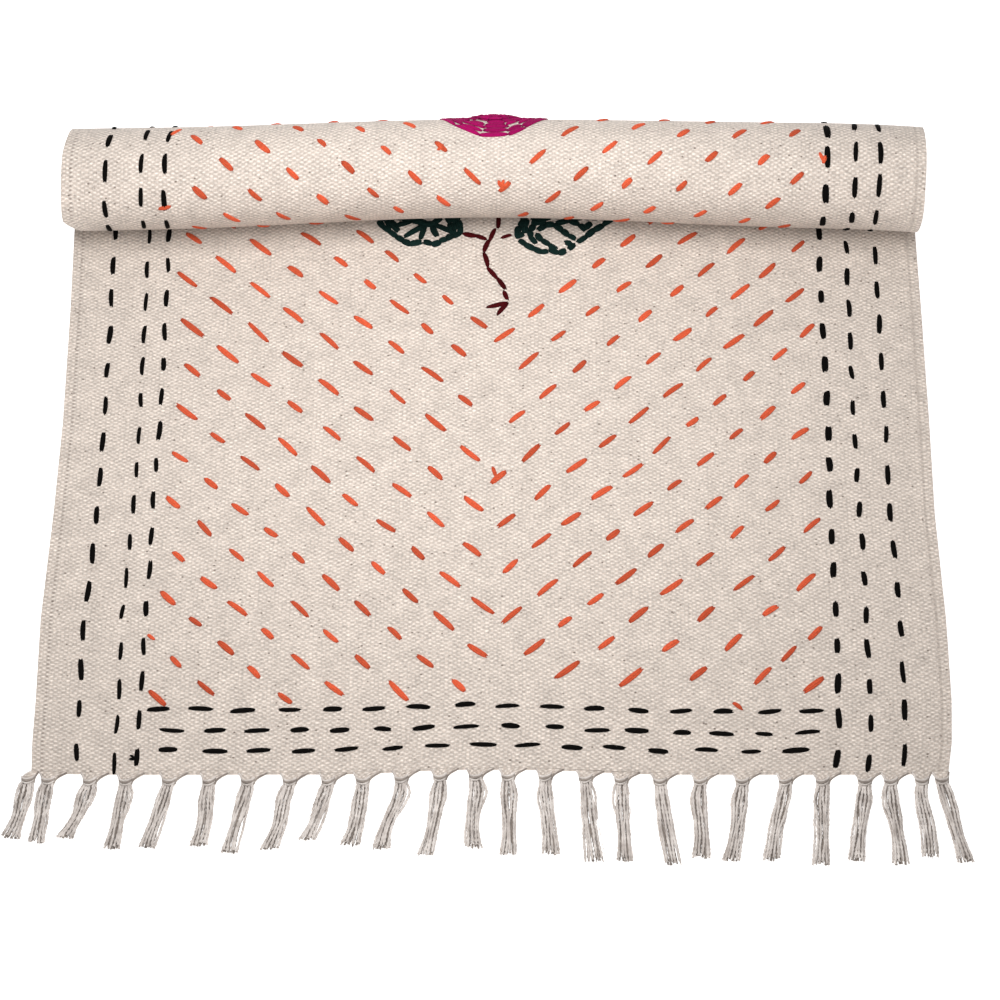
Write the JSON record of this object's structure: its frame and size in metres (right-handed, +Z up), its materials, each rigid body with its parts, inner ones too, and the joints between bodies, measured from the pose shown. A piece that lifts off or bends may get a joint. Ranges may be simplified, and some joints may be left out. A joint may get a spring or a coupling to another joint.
{
  "type": "rug",
  "caption": "Handwoven cotton rug with running-stitch chevrons and a knotted fringe, lying face up with its far end rolled over onto the rest.",
  "frame": {"origin": "on the floor, under the middle of the box round the whole rug as it lies", "axes": "+X across the rug to the right seen from the fringed hem, +Y away from the fringed hem towards the roll, +Z up"},
  "size_m": [0.6214, 0.5408, 0.0763],
  "materials": {
    "cotton_cloth": "matt undyed plain-weave cotton with coloured running stitches",
    "cotton_fringe": "matt undyed twisted cotton warp ends"
  },
  "bodies": {
    "root": {"rug_cloth": "cotton_cloth", "tassel_01": "cotton_fringe", "tassel_02": "cotton_fringe", "tassel_03": "cotton_fringe", "tassel_04": "cotton_fringe", "tassel_05": "cotton_fringe", "tassel_06": "cotton_fringe", "tassel_07": "cotton_fringe", "tassel_08": "cotton_fringe", "tassel_09": "cotton_fringe", "tassel_10": "cotton_fringe", "tassel_11": "cotton_fringe", "tassel_12": "cotton_fringe", "tassel_13": "cotton_fringe", "tassel_14": "cotton_fringe", "tassel_15": "cotton_fringe", "tassel_16": "cotton_fringe", "tassel_17": "cotton_fringe", "tassel_18": "cotton_fringe", "tassel_19": "cotton_fringe", "tassel_20": "cotton_fringe", "tassel_21": "cotton_fringe", "tassel_22": "cotton_fringe", "tassel_23": "cotton_fringe", "tassel_24": "cotton_fringe", "tassel_25": "cotton_fringe", "tassel_26": "cotton_fringe"}
  },
  "joints": []
}
